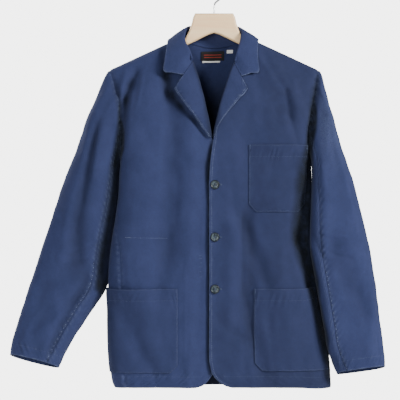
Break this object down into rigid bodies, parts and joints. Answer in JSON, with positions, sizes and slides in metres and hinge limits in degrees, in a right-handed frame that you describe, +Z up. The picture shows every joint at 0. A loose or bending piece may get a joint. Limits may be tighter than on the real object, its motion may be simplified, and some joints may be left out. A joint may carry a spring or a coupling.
{
  "type": "chore jacket on a wooden hanger",
  "caption": "Navy cotton chore jacket with notched lapels, chest and hip patch pockets and a buttoned front, hanging on a flat wooden hanger with a wire hook.",
  "frame": {"origin": "inside of the crown of the hanger's hook, where a rail holds it", "axes": "+Z up, the wearer's front faces -Y, +X to the wearer's left; a rail runs along Y"},
  "size_m": [0.8154, 0.1218, 0.8885],
  "materials": {
    "navy_cotton": "matt cotton twill, washed",
    "horn": "satin marbled horn",
    "label_black": "woven satin",
    "tab_white": "woven satin",
    "birch": "clear satin varnish",
    "nickel_wire": "bright nickel"
  },
  "bodies": {
    "root": {"back": "navy_cotton", "front_left": "navy_cotton", "front_right": "navy_cotton", "lapel_left": "navy_cotton", "lapel_right": "navy_cotton", "collar": "navy_cotton", "sleeve_left_top": "navy_cotton", "sleeve_left_under": "navy_cotton", "sleeve_right_top": "navy_cotton", "sleeve_right_under": "navy_cotton", "pocket_chest": "navy_cotton", "pocket_left": "navy_cotton", "pocket_right": "navy_cotton", "button_top": "horn", "button_middle": "horn", "button_bottom": "horn", "neck_label": "label_black", "care_tab": "tab_white", "size_tab": "tab_white", "hanger": "birch", "hook": "nickel_wire"}
  },
  "joints": []
}
